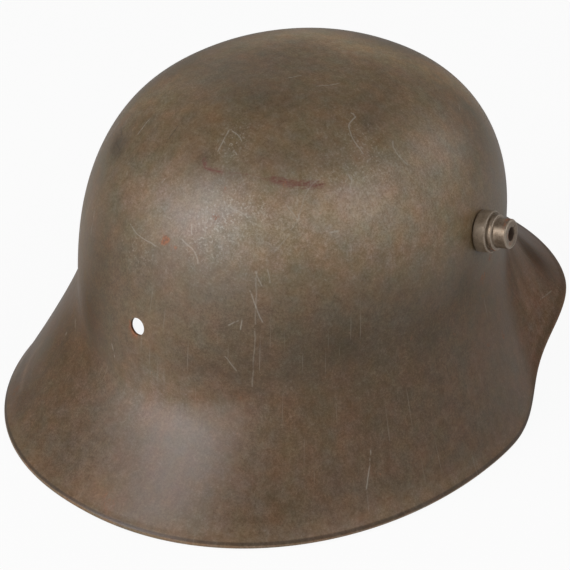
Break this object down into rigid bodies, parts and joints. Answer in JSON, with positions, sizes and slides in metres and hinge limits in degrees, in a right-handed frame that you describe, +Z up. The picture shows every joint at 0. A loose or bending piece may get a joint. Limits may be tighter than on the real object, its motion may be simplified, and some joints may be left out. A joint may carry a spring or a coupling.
{
  "type": "steel helmet",
  "caption": "Domed steel combat helmet with visor, flared ear and neck skirt, rolled rim, stepped side vent lugs and a padded leather liner with hanging wire loops.",
  "frame": {"origin": "centre of the bounding box on the plane that the rim rests on", "axes": "-Y is the way the wearer faces, +X the wearer's left, +Z up through the crown"},
  "size_m": [0.2418, 0.3022, 0.167],
  "materials": {
    "shell_paint": "worn satin paint",
    "lug_steel": "worn paint over steel",
    "washer_steel": "dull, oxidised",
    "band_steel": "thin dull paint",
    "pin_paint": "worn satin paint",
    "leather": "aged, matte",
    "horsehair": "coarse cloth",
    "linen": "unbleached linen",
    "rivet_steel": "dull",
    "lace": "matte",
    "wire_steel": "dull"
  },
  "bodies": {
    "helmet": {"shell": "shell_paint", "right_lug": "lug_steel", "left_lug": "lug_steel", "right_lug_washer": "washer_steel", "left_lug_washer": "washer_steel", "liner_band": "band_steel", "front_right_pin": "pin_paint", "front_left_pin": "pin_paint", "front_right_pin_washer": "washer_steel", "front_left_pin_washer": "washer_steel", "front_pad": "leather", "rear_right_pad": "leather", "rear_left_pad": "leather", "front_cushion": "horsehair", "rear_right_cushion": "horsehair", "rear_left_cushion": "horsehair", "front_pocket": "linen", "rear_right_pocket": "linen", "rear_left_pocket": "linen", "pad_rivets": "rivet_steel", "crown_lace": "lace", "right_bail_bracket": "band_steel", "left_bail_bracket": "band_steel", "bail_rivets": "rivet_steel"},
    "right_bail": {"right_bail": "wire_steel"},
    "left_bail": {"left_bail": "wire_steel"}
  },
  "joints": [
    {"name": "right_bail_swing", "type": "hinge", "parent": "helmet", "child": "right_bail", "pos_m": [-0.07836, -0.04821, 0.06394], "axis": [0.4023, -0.9155, 0], "range_deg": [-20, 150]},
    {"name": "left_bail_swing", "type": "hinge", "parent": "helmet", "child": "left_bail", "pos_m": [0.07836, -0.04821, 0.06394], "axis": [0.4023, 0.9155, 0], "range_deg": [-20, 150]}
  ]
}
